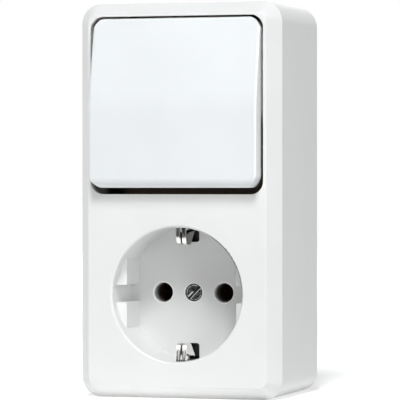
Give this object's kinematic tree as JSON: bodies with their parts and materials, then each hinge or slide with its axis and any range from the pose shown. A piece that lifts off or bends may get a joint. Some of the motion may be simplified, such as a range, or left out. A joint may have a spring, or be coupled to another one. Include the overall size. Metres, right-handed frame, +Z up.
{
  "type": "switch and socket combination",
  "caption": "Surface-mounted box with a large rocker switch above a round recessed socket with side earth clips, on a wall plate.",
  "frame": {"origin": "centre of the rear face that lies on the wall", "axes": "+X to the viewer's right, +Y into the wall, +Z up"},
  "size_m": [0.062, 0.0501, 0.1172],
  "materials": {
    "cover_plastic": "glossy white moulded plastic",
    "base_plastic": "matt light grey moulded plastic",
    "carrier_plastic": "matt natural polyamide",
    "phenolic": "dark brown pressed phenolic",
    "copper_alloy": "bare brass strip",
    "contact_silver": "silver contact rivet",
    "spring_steel": "spring steel wire",
    "plated_steel": "zinc plated steel",
    "nickel_plate": "nickel plated spring strip"
  },
  "bodies": {
    "housing": {"housing_cover": "cover_plastic", "base_plate": "base_plastic", "switch_base": "phenolic", "common_contact": "copper_alloy", "upper_contact": "copper_alloy", "lower_contact": "copper_alloy", "fixed_buttons": "contact_silver", "switch_clamps": "plated_steel", "switch_terminal_screws": "plated_steel", "switch_fixing_screws": "plated_steel", "socket_block": "phenolic", "line_contact": "copper_alloy", "neutral_contact": "copper_alloy", "socket_clamps": "plated_steel", "socket_terminal_screws": "plated_steel", "socket_fixing_screws": "plated_steel", "earth_bracket": "nickel_plate", "earth_clamp": "plated_steel", "earth_screw": "plated_steel", "cover_screw": "plated_steel"},
    "rocker": {"rocker": "cover_plastic", "rocker_carrier": "carrier_plastic", "plunger_spring": "spring_steel"},
    "plunger": {"plunger": "carrier_plastic"},
    "lever": {"contact_lever": "copper_alloy", "lever_buttons": "contact_silver"}
  },
  "joints": [
    {"name": "rocker_hinge", "type": "hinge", "parent": "housing", "child": "rocker", "pos_m": [0, -0.0395, 0.0282], "axis": [1, 0, 0], "range_deg": [0, 11.5]},
    {"name": "lever_hinge", "type": "hinge", "parent": "housing", "child": "lever", "pos_m": [0, -0.0269, 0.0282], "axis": [1, 0, 0], "range_deg": [-16.05, 0]},
    {"name": "plunger_slide", "type": "slide", "parent": "rocker", "child": "plunger", "axis": [0, -0.995, 0.1002], "range_m": [0, 0.0005], "stiffness_N_per_m": 100, "springref_m": -0.01, "deforming": ["plunger_spring"]}
  ],
  "couplings": [
    {"joint": "lever_hinge", "follows": "rocker_hinge", "ratio": -1.3913}
  ]
}
